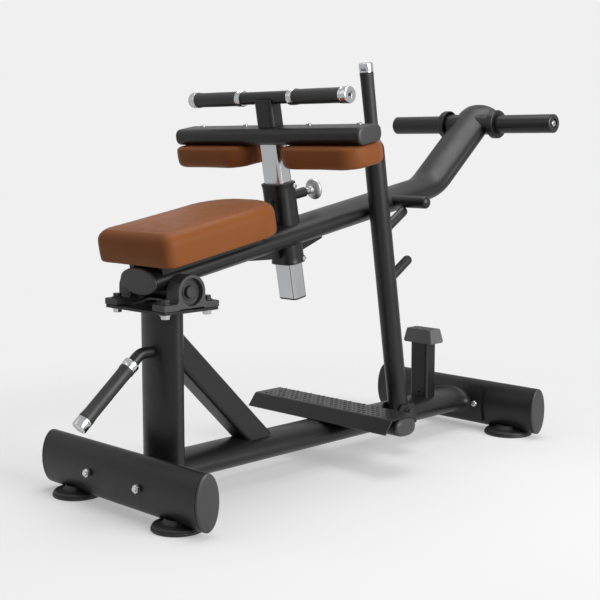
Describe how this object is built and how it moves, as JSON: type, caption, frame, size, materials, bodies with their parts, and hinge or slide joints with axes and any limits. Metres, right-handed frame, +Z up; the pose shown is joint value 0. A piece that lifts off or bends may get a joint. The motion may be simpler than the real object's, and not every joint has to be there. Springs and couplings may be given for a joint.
{
  "type": "seated calf raise machine",
  "caption": "Plate-loaded seated calf raise machine: a pivoting lever carries the seat, thigh pads on a sliding post and weight horns, held by a swinging safety bar.",
  "frame": {"origin": "on the floor at the centre of the machine's outline", "axes": "+X to the seated user's right, +Y forward from the seat to the weight horns, +Z up"},
  "size_m": [0.596, 1.356, 0.9544],
  "materials": {
    "black_coat": "satin black powder coat with a fine grain",
    "cast_black": "black painted casting, slightly rough",
    "grey_plastic": "moulded dark grey plastic",
    "black_plastic": "moulded black plastic",
    "rubber": "matt black rubber",
    "steel": "bright zinc plate",
    "chrome": "polished chrome",
    "leather": "warm brown upholstery, semi-gloss, fine grain"
  },
  "bodies": {
    "frame": {"rear_base_tube": "black_coat", "front_base_tube": "black_coat", "main_rail": "black_coat", "rear_upright": "black_coat", "diagonal_brace": "black_coat", "pivot_plate": "black_coat", "grab_bar": "black_coat", "footplate": "black_coat", "bumper_post": "black_coat", "catch_bracket": "black_coat", "right_pillow_block": "cast_black", "left_pillow_block": "cast_black", "right_bearing": "cast_black", "left_bearing": "cast_black", "rear_right_base_end_cap": "grey_plastic", "rear_left_base_end_cap": "grey_plastic", "front_left_base_end_cap": "grey_plastic", "front_right_base_end_cap": "grey_plastic", "rear_right_foot": "rubber", "rear_left_foot": "rubber", "front_left_foot": "rubber", "front_right_foot": "rubber", "bumper_block": "rubber", "grab_bar_grip": "rubber", "rear_right_base_bolt": "steel", "rear_left_base_bolt": "steel", "front_left_base_bolt": "steel", "front_right_base_bolt": "steel", "right_rear_block_bolt": "steel", "left_rear_block_bolt": "steel", "right_front_block_bolt": "steel", "left_front_block_bolt": "steel", "catch_pivot_bolt": "steel", "grab_bar_cap": "chrome"},
    "lever": {"lever_arm": "black_coat", "pivot_shaft": "cast_black", "seat_bracket": "black_coat", "seat_pad": "leather", "post_sleeve": "black_coat", "weight_horn_tube": "black_coat", "weight_horn_hub": "black_coat", "right_horn_end_cap": "black_plastic", "left_horn_end_cap": "black_plastic", "stop_pin": "black_coat"},
    "thigh_post": {"chrome_post": "chrome", "post_end_cap": "black_plastic", "crossbar": "black_coat", "right_crossbar_end_cap": "grey_plastic", "left_crossbar_end_cap": "grey_plastic", "right_thigh_pad": "leather", "left_thigh_pad": "leather", "handlebar": "black_coat", "right_hand_grip": "rubber", "left_hand_grip": "rubber", "right_handlebar_end_cap": "chrome", "left_handlebar_end_cap": "chrome"},
    "pop_pin": {"pop_pin": "steel"},
    "safety_bar": {"safety_bar": "black_coat", "safety_bar_grip": "rubber", "safety_bar_cap": "chrome"}
  },
  "joints": [
    {"name": "lever_pivot", "type": "hinge", "parent": "frame", "child": "lever", "pos_m": [0, -0.451, 0.4618], "axis": [1, 0, 0], "range_deg": [0, 8]},
    {"name": "post_slide", "type": "slide", "parent": "lever", "child": "thigh_post", "axis": [0, -0.1786, 0.9839], "range_m": [-0.03, 0.1]},
    {"name": "pop_pin_pull", "type": "slide", "parent": "lever", "child": "pop_pin", "axis": [0, 0.9839, 0.1786], "range_m": [0, 0.012], "stiffness_N_per_m": 800, "springref_m": -0.005},
    {"name": "safety_bar_swing", "type": "hinge", "parent": "frame", "child": "safety_bar", "pos_m": [0.088, 0.2275, 0.105], "axis": [1, 0, 0], "range_deg": [0, 10]}
  ]
}
